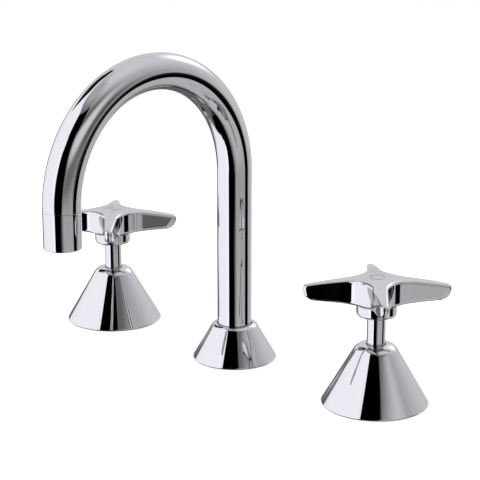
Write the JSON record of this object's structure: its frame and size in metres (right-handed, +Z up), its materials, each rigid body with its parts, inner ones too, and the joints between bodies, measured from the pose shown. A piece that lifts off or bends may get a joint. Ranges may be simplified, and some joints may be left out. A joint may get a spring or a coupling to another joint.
{
  "type": "widespread bathroom faucet",
  "caption": "Widespread basin faucet: a swivelling gooseneck spout between hot and cold quarter-turn valves with cross handles on conical flanges, standing on a deck.",
  "frame": {"origin": "middle of the set's footprint on the deck plane, the middle of the bottom of its bounding box", "axes": "+Z up from the deck, +Y towards the wall behind the set, the spout points to -Y at the user, hot valve at -X and cold valve at +X"},
  "size_m": [0.2554, 0.1586, 0.1771],
  "materials": {
    "chrome": "polished chrome plate",
    "brass": "machined",
    "steel": "plain stainless",
    "rubber": "matt black",
    "nylon": "moulded, off-white",
    "ceramic": "lapped ceramic"
  },
  "bodies": {
    "deck_set": {"hot_flange": "chrome", "hot_flange_gasket": "rubber", "hot_flange_bush": "nylon", "hot_valve_body": "brass", "hot_seat_seal": "rubber", "hot_fixed_disc": "ceramic", "hot_headwork_housing": "brass", "hot_headwork_oring": "rubber", "cold_flange": "chrome", "cold_flange_gasket": "rubber", "cold_flange_bush": "nylon", "cold_valve_body": "brass", "cold_seat_seal": "rubber", "cold_fixed_disc": "ceramic", "cold_headwork_housing": "brass", "cold_headwork_oring": "rubber", "spout_flange": "chrome", "spout_flange_gasket": "rubber", "spout_foot": "brass", "spout_bearing_ring": "nylon", "spout_guide_ring": "nylon", "spout_oring_lower": "rubber", "spout_oring_upper": "rubber"},
    "hot_handle": {"hot_cross_handle": "chrome", "hot_hub_collar": "chrome", "hot_stem_sleeve": "chrome", "hot_spindle": "brass", "hot_spindle_oring": "rubber", "hot_circlip": "steel", "hot_handle_bush": "nylon", "hot_grub_screw": "steel", "hot_moving_disc": "ceramic"},
    "cold_handle": {"cold_cross_handle": "chrome", "cold_hub_collar": "chrome", "cold_stem_sleeve": "chrome", "cold_spindle": "brass", "cold_spindle_oring": "rubber", "cold_circlip": "steel", "cold_handle_bush": "nylon", "cold_grub_screw": "steel", "cold_moving_disc": "ceramic"},
    "spout": {"spout_tube": "chrome", "spout_stop_screw": "steel", "aerator_housing": "chrome", "aerator_insert": "nylon", "aerator_screen": "steel", "aerator_washer": "rubber"}
  },
  "joints": [
    {"name": "hot_turn", "type": "hinge", "parent": "deck_set", "child": "hot_handle", "pos_m": [-0.1, 0.05162, 0.03], "axis": [0, 0, 1], "range_deg": [0, 90]},
    {"name": "cold_turn", "type": "hinge", "parent": "deck_set", "child": "cold_handle", "pos_m": [0.1, 0.05162, 0.03], "axis": [0, 0, 1], "range_deg": [-90, 0]},
    {"name": "spout_swivel", "type": "hinge", "parent": "deck_set", "child": "spout", "pos_m": [0, 0.05162, 0.02], "axis": [0, 0, 1], "range_deg": [-60, 60]}
  ]
}
